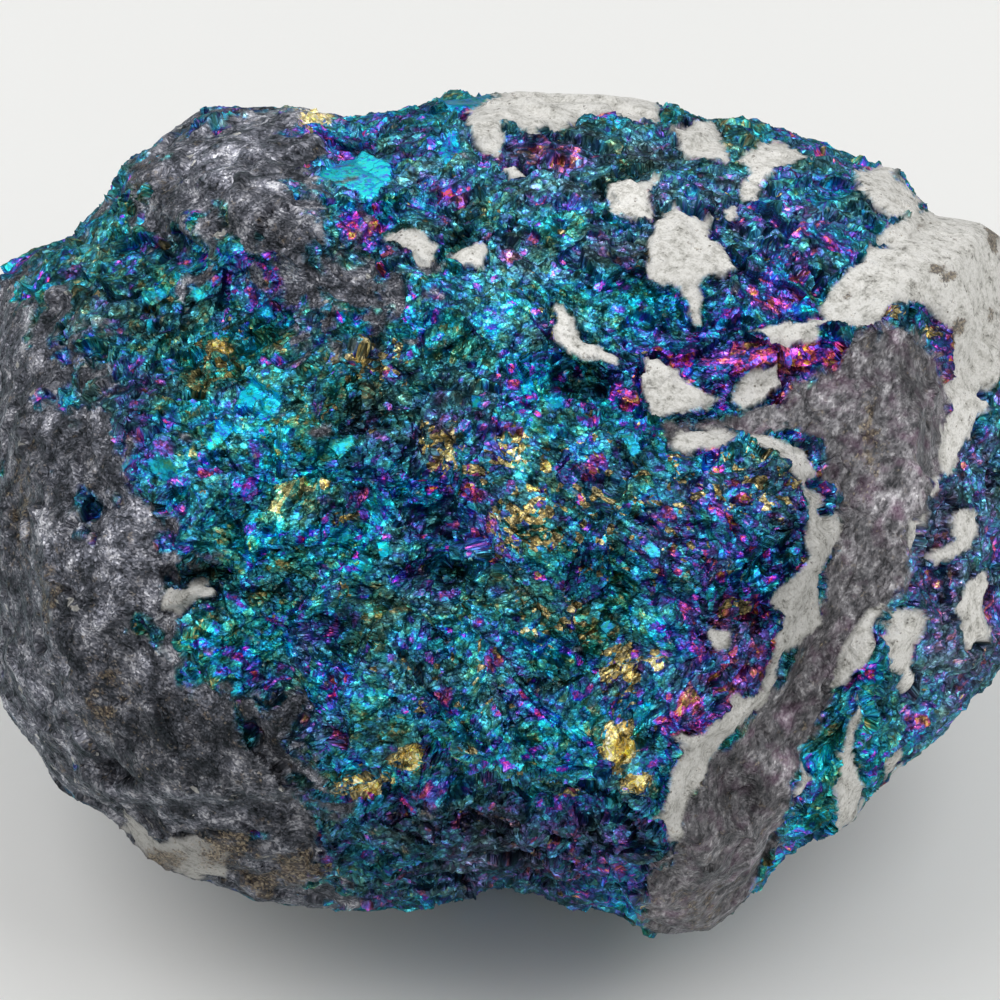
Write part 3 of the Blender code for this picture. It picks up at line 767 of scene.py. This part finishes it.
def stone_surface():
    """Every point of the skin with what the material reads there.

    The pillow is fractured and faceted as the solid is. Chips, grains, crumbs and grit are then laid on along
    the normal, whole in the ore, lower in the crust and the slab, and mostly lowest in the calcite, which
    stands a little proud. Each crystal's own chances shift the film that colours it and how dark it is,
    partly a painted sparkle; the ore also gets a painted shadow along the calcite's edge.
    """
    directions, index, grit = skin_grid()
    points, x, y, forward = pillow(directions)
    hidden = smooth(0.0, HIDDEN_FADE, -forward)
    points = fractured(points, hidden)
    zones = zone_reach(points, x, y, forward)
    film, gold, shade, light, faded, stain = tarnish_fields(points, x, y, forward)
    outward = points / np.linalg.norm(points, axis=1)[:, None]
    blocks, _ = facets(points, **BLOCKS)
    plates, plate = facets(points, **FACETS)
    points = points + outward * (hidden * blocks + smooth(*FACET_FADE, np.abs(forward)) * plates)[:, None]
    normals = normals_of(points, index)

    laid = laid_out(points, plate, zones)
    chips, chip = facets(laid, **CHIPS)
    grains, grain = facets(laid, **GRAINS)
    crumbs, crumb = facets(laid, **CRUMBS)
    wander = 0.5 * slow_field(points, 2.6, 51) + 0.9 * (grain[:, 1] - 0.5) + 0.8 * (crumb[:, 2] - 0.5)
    grey = smooth(-0.8, 0.8, zones["grey"] + 1.4 * wander)
    slab = smooth(-0.25, 0.25, zones["slab"] + 0.5 * wander)
    calcite = smooth(-0.08, 0.08, zones["calcite"] + 0.2 * wander)
    face, face_film, face_painted_reflection = cleaved(x, y, forward)
    face = face * (1.0 - calcite)
    bare = (1.0 - 0.92 * face) * (0.4 + 0.6 * smooth(-0.1, 0.35, np.abs(forward)))
    covers = (grey, slab, calcite)
    rise = damped(chips, CHIPS_LOST, covers) * bare
    rise += damped(grains, GRAINS_LOST, covers) * bare
    rise += damped(crumbs, CRUMBS_LOST, covers) * bare
    rise += damped(grit, GRIT_LOST, covers) * (1.0 - 0.8 * face)
    rise -= PIT_DEPTH * smooth(1.0, 2.2, slow_field(points, 3.2, 61)) * (1.0 - calcite) * (1.0 - face)
    rise += CALCITE_PROUD * smooth(-0.05, 0.3, zones["calcite"])
    points = points + normals * (rise - SKIN_SUNK)[:, None] + MIDDLE
    points = np.clip(points, np.array(cad_low) / MM, np.array(cad_high) / MM)

    film = film + 0.12 * (chip[:, 0] - 0.5) + 0.12 * (grain[:, 0] - 0.5) + 0.14 * (crumb[:, 0] - 0.5)
    violet = smooth(0.88, 0.92, grain[:, 1]) + smooth(0.90, 0.94, crumb[:, 1])
    film = film - 0.22 * np.minimum(violet, 1.0)
    film = np.clip(film * (1.0 - face) + face_film * face, 0.14, 0.97)
    khaki = 0.015 + gold - 0.3 * crumb[:, 2] - 0.15 * grain[:, 0] - face
    shade = shade + 0.35 * (chip[:, 1] - 0.5) + 0.45 * (grain[:, 2] - 0.5)
    # Painted sparkle: random brightness for each crumb, higher for gold grains, standing in for grains that
    # catch the lamps.
    painted_sparkle = 1.2 * (crumb[:, 1] - 0.5) + 0.7 * smooth(0.1, 0.5, khaki)
    dull = 0.22 + faded + 0.14 * slow_field(points, 5.0, 46) + 0.3 * (chip[:, 2] - 0.5) - 0.25 * painted_sparkle
    dull = np.clip(dull, 0.0, 0.85) * (1.0 - face)
    # Painted shadow: the ore is darkened just outside the calcite's edge, as if the proud calcite shaded it,
    # and the cleavage faces take their painted reflection.
    edge = np.exp(-((zones["calcite"] / 0.15) ** 2))
    shade = np.exp(shade + painted_sparkle + 0.04 - 0.7 * edge * (1.0 - calcite)) * (1.0 - face) + face_painted_reflection * face
    # Brightness of the crust, slab and calcite: painted highlights and painted shade from the stretches,
    # random mottling, and the calcite a little darker along its own edge.
    motley = 0.4 * (plate[:, 0] - 0.5) + 0.4 * (chip[:, 1] - 0.5) + 0.24 * slow_field(points, 2.4, 48)
    light = np.exp(light + motley * (1.0 - calcite) - 0.25 * edge * calcite)
    tilt = GRIT_TILT * (1.0 - 0.1 * grey) * (1.0 - 0.4 * slab) * (1.0 - 0.75 * calcite) * (1.0 - 0.85 * face)
    found = dict(
        film=film, khaki=khaki, gold=gold, dull=dull, shade=shade, light=light, stain=stain, laid=laid,
        grey=grey, slab=slab, calcite=calcite, face=face, tilt=tilt)
    return points, index, found


def skin_piece(name, points, found, side):
    """One of the skin's six grids as a closed wedge: the grid, and a wall from each of its edges to the
    stone's middle. On the piece's map the walls lie in a narrow margin round the grid."""
    used = side.ravel()
    cells = side.shape[0] - 1
    grid = np.arange(len(used)).reshape(side.shape)
    a, b, c, d = (g.ravel() for g in (grid[:-1, :-1], grid[1:, :-1], grid[1:, 1:], grid[:-1, 1:]))
    flip = np.random.default_rng(len(name)).random(len(a)) < 0.5
    rim = np.concatenate([grid[:-1, 0], grid[-1, :-1], grid[:0:-1, -1], grid[0, :0:-1]])
    walls = np.stack([np.roll(rim, -1), rim, np.full(len(rim), len(used))], axis=1)
    triangles = np.concatenate([
        np.stack([a, b, np.where(flip, c, d)], axis=1),
        np.stack([np.where(flip, a, b), c, d], axis=1),
        walls,
    ])
    piece = mesh_from(name, np.concatenate([points[used], [MIDDLE]]), triangles)
    mesh = piece.data
    for attribute_name, values in found.items():
        set_attribute(mesh, attribute_name, values[used])
    u, v = np.divmod(np.arange(len(used)), cells + 1)
    place = np.stack([u, v], axis=1) / cells * (1.0 - 2.0 * WALL_MARGIN) + WALL_MARGIN
    corner_place = place[np.minimum(triangles, len(used) - 1)]
    middle = corner_place[-len(rim):, :2].mean(axis=1)
    away = np.where(np.abs(middle - 0.5) > 0.499 - WALL_MARGIN, np.sign(middle - 0.5), 0.0)
    corner_place[-len(rim):, 2] = middle + away * WALL_MARGIN
    layer = mesh.uv_layers.new(name="OFBake")
    layer.uv.foreach_set("vector", corner_place.astype(np.float32).ravel())
    mesh.shade_flat()
    return piece


def mesh_from(name, points, faces):
    """A mesh from arrays of points in millimetres and faces of three or four corners."""
    mesh = bpy.data.meshes.new(name)
    sides = faces.shape[1]
    mesh.vertices.add(len(points))
    mesh.vertices.foreach_set("co", (points * MM).astype(np.float32).ravel())
    mesh.loops.add(faces.size)
    mesh.loops.foreach_set("vertex_index", faces.astype(np.int32).ravel())
    mesh.polygons.add(len(faces))
    mesh.polygons.foreach_set("loop_start", np.arange(0, faces.size, sides, dtype=np.int32))
    mesh.polygons.foreach_set("loop_total", np.full(len(faces), sides, np.int32))
    mesh.update(calc_edges=True)
    piece = bpy.data.objects.new(name, mesh)
    bpy.context.scene.collection.objects.link(piece)
    return piece


def set_attribute(mesh, name, values):
    """One number or one vector per point, which the material reads by name. The last point, the stone's
    middle, gets 0."""
    if values.ndim == 2:
        layer = mesh.attributes.new(name, "FLOAT_VECTOR", "POINT")
        layer.data.foreach_set("vector", np.append(values, [[0.0] * 3], axis=0).astype(np.float32).ravel())
    else:
        layer = mesh.attributes.new(name, "FLOAT", "POINT")
        layer.data.foreach_set("value", np.append(values, 0.0).astype(np.float32))


def linear(hex_colour):
    """An sRGB hex colour as the linear red, green, blue and alpha that sockets take."""
    parts = [int(hex_colour[i:i + 2], 16) / 255 for i in (1, 3, 5)]
    return tuple(p / 12.92 if p <= 0.04045 else ((p + 0.055) / 1.055) ** 2.4 for p in parts) + (1.0,)


def add(tree, kind, inputs=None, stops=(), **settings):
    """Adds a node: settings are its properties, and inputs gives its sockets, by name or number, a value or
    another node's output. Stops are the places and hex colours of a colour ramp. A Mix of colours takes its
    share and its two colours at 0, 6 and 7 and gives output 2, and a Mix of numbers takes them at 0, 2 and 3.
    """
    node = tree.nodes.new("ShaderNode" + kind)
    for name, value in settings.items():
        setattr(node, name, value)
    for socket, value in (inputs or {}).items():
        if isinstance(value, bpy.types.NodeSocket):
            tree.links.new(value, node.inputs[socket])
        else:
            node.inputs[socket].default_value = value
    for number, (place, colour) in enumerate(stops):
        marks = node.color_ramp.elements
        mark = marks[number] if number < 2 else marks.new(place)
        mark.position, mark.color = place, linear(colour)
    return node


def patterns(tree):
    """What all the finishes read: the points' attributes by name, the chances of each grain of grit and each
    larger grain, which are drawn out along the crystal's own lie, a cloudy noise, and a sandy one with grit
    in it."""
    names = ("film", "khaki", "gold", "dull", "shade", "light", "stain", "grey", "slab", "calcite", "face",
             "tilt")
    read = {name: add(tree, "Attribute", attribute_name=name).outputs["Fac"] for name in names}
    read["laid"] = add(tree, "Attribute", attribute_name="laid").outputs["Vector"]
    grit = add(tree, "TexVoronoi", {"Vector": read["laid"], "Scale": 1.0 / GRIT_SIZE})
    grain = add(tree, "TexVoronoi", {"Vector": read["laid"], "Scale": 1.0 / GRAIN_SIZE})
    read["grit colour"], read["grain distance"] = grit.outputs["Color"], grain.outputs["Distance"]
    grit_chances = add(tree, "SeparateColor", {0: grit.outputs["Color"]}).outputs
    grain_chances = add(tree, "SeparateColor", {0: grain.outputs["Color"]}).outputs
    for number in range(3):
        read[f"grit {number}"], read[f"grain {number}"] = grit_chances[number], grain_chances[number]
    place = add(tree, "TexCoord").outputs["Object"]
    read["cloud"] = add(tree, "TexNoise", {
        "Vector": place, "Scale": 1.0 / (CLOUD_SIZE * MM), "Detail": 3.0, "Roughness": 0.55}).outputs[0]
    sand = add(tree, "TexNoise", {
        "Vector": place, "Scale": 1.0 / (SAND_SIZE * MM), "Detail": 3.0, "Roughness": 0.7})
    sand = add(tree, "Math", {0: read["grit 0"], 1: 0.16, 2: sand.outputs[0]}, operation="MULTIPLY_ADD")
    read["sand"] = sand.outputs[0]
    return read


def tarnish_colour(tree, read):
    """The film's colour by its thickness, shifted in each grain, greyed where the tarnish is dull, and khaki
    to gold where the film is thin or worn."""
    film = add(tree, "Math", {0: read["grit 1"], 1: 0.14, 2: read["film"]}, operation="MULTIPLY_ADD")
    film = add(tree, "Math", {0: read["grain 1"], 1: 0.28, 2: film.outputs[0]}, operation="MULTIPLY_ADD")
    film = add(tree, "Math", {0: film.outputs[0], 1: 0.21}, operation="SUBTRACT")
    tarnish = add(tree, "ValToRGB", {0: film.outputs[0]}, stops=[
        (0.0, "#f0c869"), (1.0, "#a9a060"), (0.07, "#d9a43f"), (0.13, "#c46a35"), (0.24, "#d03a84"),
        (0.36, "#7a3ac8"), (0.48, "#2458c4"), (0.62, "#12a4cc"), (0.76, "#129c9c"), (0.90, "#459a78")])
    faded = add(tree, "Mix", {0: read["dull"], 6: tarnish.outputs[0], 7: linear("#5c686e")}, data_type="RGBA")
    olive = add(tree, "Math", {0: read["gold"], 1: 0.75}, operation="MULTIPLY")
    paints = {0: olive.outputs[0], 6: faded.outputs[2], 7: linear("#59533c")}
    faded = add(tree, "Mix", paints, data_type="RGBA")
    wealth = add(tree, "Math", {0: read["grit 2"], 1: 0.55}, operation="MULTIPLY")
    wealth = add(tree, "Math", {0: read["gold"], 1: 0.45, 2: wealth.outputs[0]}, operation="MULTIPLY_ADD")
    bronze = add(tree, "ValToRGB", {0: wealth.outputs[0]}, stops=[
        (0.0, "#3c3324"), (1.0, "#ffd25a"), (0.3, "#857c5e"), (0.55, "#b4a67a"), (0.78, "#dcb860")])
    khaki = add(tree, "Math", {0: read["grain 2"], 1: -0.55, 2: read["khaki"]}, operation="MULTIPLY_ADD")
    khaki = add(tree, "Math", {0: khaki.outputs[0], 1: 0.0}, operation="GREATER_THAN")
    paints = {0: khaki.outputs[0], 6: faded.outputs[2], 7: bronze.outputs[0]}
    return add(tree, "Mix", paints, data_type="RGBA").outputs[2]


def ore_colour(tree, read):
    """The tarnish with painted glitter: most grit is dark and a little is bright, a painted glint; the gaps
    between grains are darker, a painted shade, and their middles a little brighter; the smooth cleavage faces
    have only hair cracks. All is scaled by the shade attribute, which holds painted highlights and shade."""
    # Painted glints: a few grains of grit and of the larger grains are made much brighter.
    glint = add(tree, "Math", {0: read["grit 0"], 1: 3.0}, operation="POWER")
    glint = add(tree, "Math", {0: glint.outputs[0], 1: 1.4, 2: 0.6}, operation="MULTIPLY_ADD")
    painted_sparkle = add(tree, "Math", {0: read["grain 0"], 1: 4.0}, operation="POWER")
    painted_sparkle = add(tree, "Math", {0: painted_sparkle.outputs[0], 1: 1.5, 2: 0.68}, operation="MULTIPLY_ADD")
    glint = add(tree, "Math", {0: glint.outputs[0], 1: painted_sparkle.outputs[0]}, operation="MULTIPLY")
    # Painted shade in the gaps between grains, and a little painted brightness in their middles.
    gap = add(tree, "MapRange", {0: read["grain distance"], 1: 0.2, 2: 0.6, 3: 1.15, 4: 0.7})
    glint = add(tree, "Math", {0: glint.outputs[0], 1: gap.outputs[0]}, operation="MULTIPLY")
    crack = add(tree, "Math", {0: read["cloud"], 1: 0.5}, operation="SUBTRACT")
    crack = add(tree, "Math", {0: crack.outputs[0]}, operation="ABSOLUTE")
    crack = add(tree, "MapRange", {0: crack.outputs[0], 1: 0.0, 2: 0.03, 3: 0.35, 4: 0.85})
    level = add(tree, "Mix", {0: read["face"], 2: glint.outputs[0], 3: crack.outputs[0]}, data_type="FLOAT")
    bright = add(tree, "Math", {0: level.outputs[0], 1: read["shade"]}, operation="MULTIPLY")
    lit = {0: tarnish_colour(tree, read), "Scale": bright.outputs[0]}
    return add(tree, "VectorMath", lit, operation="SCALE").outputs[0]


def crust_colour(tree, read):
    """Lead-grey crust: cloudy, with grit in many greys and a few pale flakes."""
    streak = add(tree, "Math", {0: read["grain 0"], 1: 0.12, 2: read["cloud"]}, operation="MULTIPLY_ADD")
    streak = add(tree, "Math", {0: read["grit 0"], 1: 0.28, 2: streak.outputs[0]}, operation="MULTIPLY_ADD")
    grey = add(tree, "ValToRGB", {0: streak.outputs[0]}, stops=[
        (0.40, "#1b1c1f"), (1.0, "#d4d4da"), (0.58, "#3f4047"), (0.72, "#62636c"), (0.84, "#8c8c95")])
    flake = add(tree, "Math", {0: read["grain 2"], 1: 0.993}, operation="GREATER_THAN")
    grey = add(tree, "Mix", {0: flake.outputs[0], 6: grey.outputs[0], 7: linear("#b4b2ae")}, data_type="RGBA")
    # Scaled by the light attribute: painted highlights and painted shade from the stretches, with tone.
    lit = {0: grey.outputs[2], "Scale": read["light"]}
    return add(tree, "VectorMath", lit, operation="SCALE").outputs[0]


def slab_colour(tree, read):
    """Brown cleaved slab: fibres along its lie, and plum where a film has just begun."""
    fibre = add(tree, "TexNoise", {
        "Vector": read["laid"], "Scale": 1.0 / FIBRE_SIZE, "Detail": 2.0, "Roughness": 0.55})
    fibre = add(tree, "Math", {0: read["grit 0"], 1: 0.24, 2: fibre.outputs[0]}, operation="MULTIPLY_ADD")
    slab = add(tree, "ValToRGB", {0: fibre.outputs[0]}, stops=[
        (0.36, "#3a383a"), (0.97, "#bcbabc"), (0.51, "#555255"), (0.64, "#6e6b6e"), (0.77, "#8a878a")])
    plum = add(tree, "MapRange", {0: read["cloud"], 1: 0.5, 2: 0.7, 3: 0.0, 4: 0.4})
    slab = add(tree, "Mix", {0: plum.outputs[0], 6: slab.outputs[0], 7: linear("#6b4660")}, data_type="RGBA")
    # Scaled by the light attribute: painted highlights and painted shade from the stretches, with tone.
    lit = {0: slab.outputs[2], "Scale": read["light"]}
    return add(tree, "VectorMath", lit, operation="SCALE").outputs[0]


def calcite_colour(tree, read):
    """Pale calcite: sandy white with dark specks, which are the middles of a few grains."""
    calcite = add(tree, "ValToRGB", {0: read["sand"]}, stops=[
        (0.32, "#72706a"), (0.88, "#f1f0ed"), (0.46, "#b5b3ad"), (0.59, "#d1cfca")])
    dot = add(tree, "Math", {0: read["grain 2"], 1: 1.6, 2: -1.34}, operation="MULTIPLY_ADD")
    dot = add(tree, "Math", {0: read["grain distance"], 1: dot.outputs[0]}, operation="LESS_THAN")
    dot = add(tree, "Math", {0: dot.outputs[0], 1: 0.75}, operation="MULTIPLY")
    paints = {0: dot.outputs[0], 6: calcite.outputs[0], 7: linear("#5b544a")}
    calcite = add(tree, "Mix", paints, data_type="RGBA")
    # Scaled by the light attribute: painted shade from the stretches and along the calcite's edge, with tone.
    lit = {0: calcite.outputs[2], "Scale": read["light"]}
    return add(tree, "VectorMath", lit, operation="SCALE").outputs[0]


def stained(tree, read, base):
    """Brown or tan stain over a colour, in blotches by the sand and by each point's share of stain."""
    soak = add(tree, "Math", {0: read["sand"], 1: 2.2, 2: -1.28}, operation="MULTIPLY_ADD")
    soak = add(tree, "Math", {0: soak.outputs[0], 1: read["stain"]}, operation="ADD")
    soak = add(tree, "MapRange", {0: soak.outputs[0], 1: 0.25, 2: 0.6, 3: 0.0, 4: 0.85})
    brown = add(tree, "ValToRGB", {0: read["grit 1"]}, stops=[
        (0.0, "#2a2320"), (1.0, "#9a8c74"), (0.5, "#54463a")])
    return add(tree, "Mix", {0: soak.outputs[0], 6: base, 7: brown.outputs[0]}, data_type="RGBA").outputs[2]


def ore_material():
    """Tarnished chalcopyrite: a metal under a film whose thickness gives its colour, broken so small that the
    eye sees glints of cyan, blue, violet and gold between near-black gaps, partly from each grain's tilt and
    partly painted glints and painted shade in the colour. Lead-grey crust, a brown cleaved slab and pale
    calcite lie over it where their shares say, each less of a metal and rougher than the ore, and stain lies
    over all. Each grain of grit is tilted its own way, so that few catch the light at once."""
    material = bpy.data.materials.new("tarnished_chalcopyrite")
    material.use_nodes = True
    tree = material.node_tree
    shader = tree.nodes["Principled BSDF"]
    read = patterns(tree)
    base = ore_colour(tree, read)
    for name, cover in (("grey", crust_colour), ("slab", slab_colour), ("calcite", calcite_colour)):
        paints = {0: read[name], 6: base, 7: cover(tree, read)}
        base = add(tree, "Mix", paints, data_type="RGBA").outputs[2]
    base = stained(tree, read, base)
    metal, rough = ORE_METAL, ORE_ROUGHNESS
    for name, (own_metal, own_rough) in COVER_FINISHES.items():
        metal = add(tree, "Mix", {0: read[name], 2: metal, 3: own_metal}, data_type="FLOAT").outputs[0]
        rough = add(tree, "Mix", {0: read[name], 2: rough, 3: own_rough}, data_type="FLOAT").outputs[0]
    away = add(tree, "VectorMath", {0: read["grit colour"], 1: (0.5, 0.5, 0.5)}, operation="SUBTRACT")
    away = add(tree, "VectorMath", {0: away.outputs[0], "Scale": read["tilt"]}, operation="SCALE")
    surface_normal = add(tree, "NewGeometry").outputs["Normal"]
    facing = add(tree, "VectorMath", {0: surface_normal, 1: away.outputs[0]}, operation="ADD")
    facing = add(tree, "VectorMath", {0: facing.outputs[0]}, operation="NORMALIZE")
    shader.inputs["Specular Tint"].default_value = (0.45, 0.6, 0.66, 1.0)
    tree.links.new(base, shader.inputs["Base Color"])
    tree.links.new(metal, shader.inputs["Metallic"])
    tree.links.new(rough, shader.inputs["Roughness"])
    tree.links.new(facing.outputs[0], shader.inputs["Normal"])
    return material


def softbox(name, turn, rise, size, power):
    """A square soft box turned to the stone's middle: degrees round from the back, clockwise from above, and
    degrees up."""
    turn, rise = math.radians(turn), math.radians(rise)
    away = Vector((math.sin(turn) * math.cos(rise), math.cos(turn) * math.cos(rise), math.sin(rise)))
    lamp = bpy.data.lights.new(name, "AREA")
    lamp.size = size
    lamp.energy = power
    holder = bpy.data.objects.new(name, lamp)
    holder.location = Vector(MIDDLE) * MM + away * LAMP_DISTANCE
    holder.rotation_euler = away.to_track_quat("Z", "Y").to_euler()
    bpy.context.scene.collection.objects.link(holder)


def studio():
    """A plain pale floor inside a light tent: panels at the left, the right, the back and the front, and a
    dim surround."""
    corners = [(-FLOOR_HALF, -FLOOR_HALF, 0), (FLOOR_HALF, -FLOOR_HALF, 0), (FLOOR_HALF, FLOOR_HALF, 0),
               (-FLOOR_HALF, FLOOR_HALF, 0)]
    floor = mesh_from("floor", np.array(corners, float), np.array([(0, 1, 2, 3)]))
    floor_paint = bpy.data.materials.new("white_sweep")
    floor_paint.use_nodes = True
    shader = floor_paint.node_tree.nodes["Principled BSDF"]
    shader.inputs["Base Color"].default_value = linear("#f0f0ee")
    shader.inputs["Roughness"].default_value = 0.9
    floor.data.materials.append(floor_paint)
    softbox("left panel", 255, 55, 0.65, 2.8)
    softbox("right panel", 107, 55, 0.65, 3.0)
    softbox("back panel", 345, 35, 0.65, 0.7)
    softbox("front panel", 180, 45, 0.65, 0.9)
    world = bpy.data.worlds.new("surround")
    world.use_nodes = True
    world.node_tree.nodes["Background"].inputs["Color"].default_value = (1, 1, 1, 1)
    world.node_tree.nodes["Background"].inputs["Strength"].default_value = 0.30
    bpy.context.scene.world = world


def camera():
    """The photograph's view: 40 degrees down, 500 mm from the stone, 60 mm wide at its middle."""
    data = bpy.data.cameras.new("camera")
    eye = bpy.data.objects.new("camera", data)
    bpy.context.scene.collection.objects.link(eye)
    target = np.array(MIDDLE) + EYE_UP * (MIDDLE_PIXEL[1] - PICTURE_SIDE / 2) * PIXEL
    eye.location = (target + EYE_BACK * SIGHT_LENGTH) * MM
    eye.rotation_euler = Vector(-EYE_BACK).to_track_quat("-Z", "Y").to_euler()
    data.sensor_width = 36.0
    data.lens = data.sensor_width * SIGHT_LENGTH / (PICTURE_SIDE * PIXEL)
    bpy.context.scene.camera = eye


SIDE_NAMES = ["front", "back", "right", "left", "top", "under"]
surface, grids, found = stone_surface()
ore = ore_material()
for side_name, side in zip(SIDE_NAMES, grids):
    stone = skin_piece("skin_" + side_name, surface, found, side)
    stone.data.materials.append(ore)
    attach(stone, "root")
    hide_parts("peacock_ore")
studio()
camera()
bpy.context.scene.view_settings.view_transform = "Standard"
